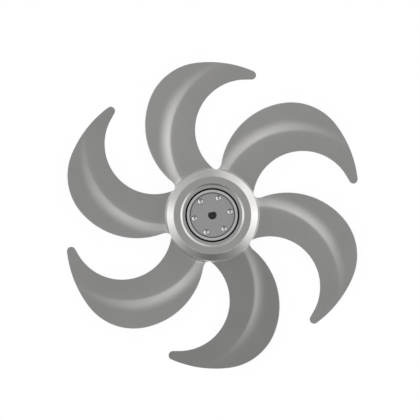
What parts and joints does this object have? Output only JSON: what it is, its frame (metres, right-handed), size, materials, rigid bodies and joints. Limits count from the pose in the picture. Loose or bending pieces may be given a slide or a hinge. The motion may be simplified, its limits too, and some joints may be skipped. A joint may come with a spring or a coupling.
{
  "type": "axial fan impeller",
  "caption": "Axial fan impeller: sickle blades cast in one piece with a cup-shaped hub, and a pinned centre plate with a D-shaped shaft hole.",
  "frame": {"origin": "on the shaft axis, in the plane of the hub's rear rim", "axes": "+Z along the shaft axis towards the seen face; +Y is up in the picture"},
  "size_m": [0.4728, 0.4992, 0.056],
  "materials": {
    "casting": "satin grey, blasted casting",
    "plate": "turned, matt",
    "rubber": "matt black",
    "pin": "bright, drawn",
    "bush": "turned",
    "screw": "blackened"
  },
  "bodies": {
    "root": {"impeller": "casting", "hub_plate": "plate", "seal_ring": "rubber", "plate_pins": "pin", "shaft_bush": "bush", "grub_screw": "screw"}
  },
  "joints": []
}
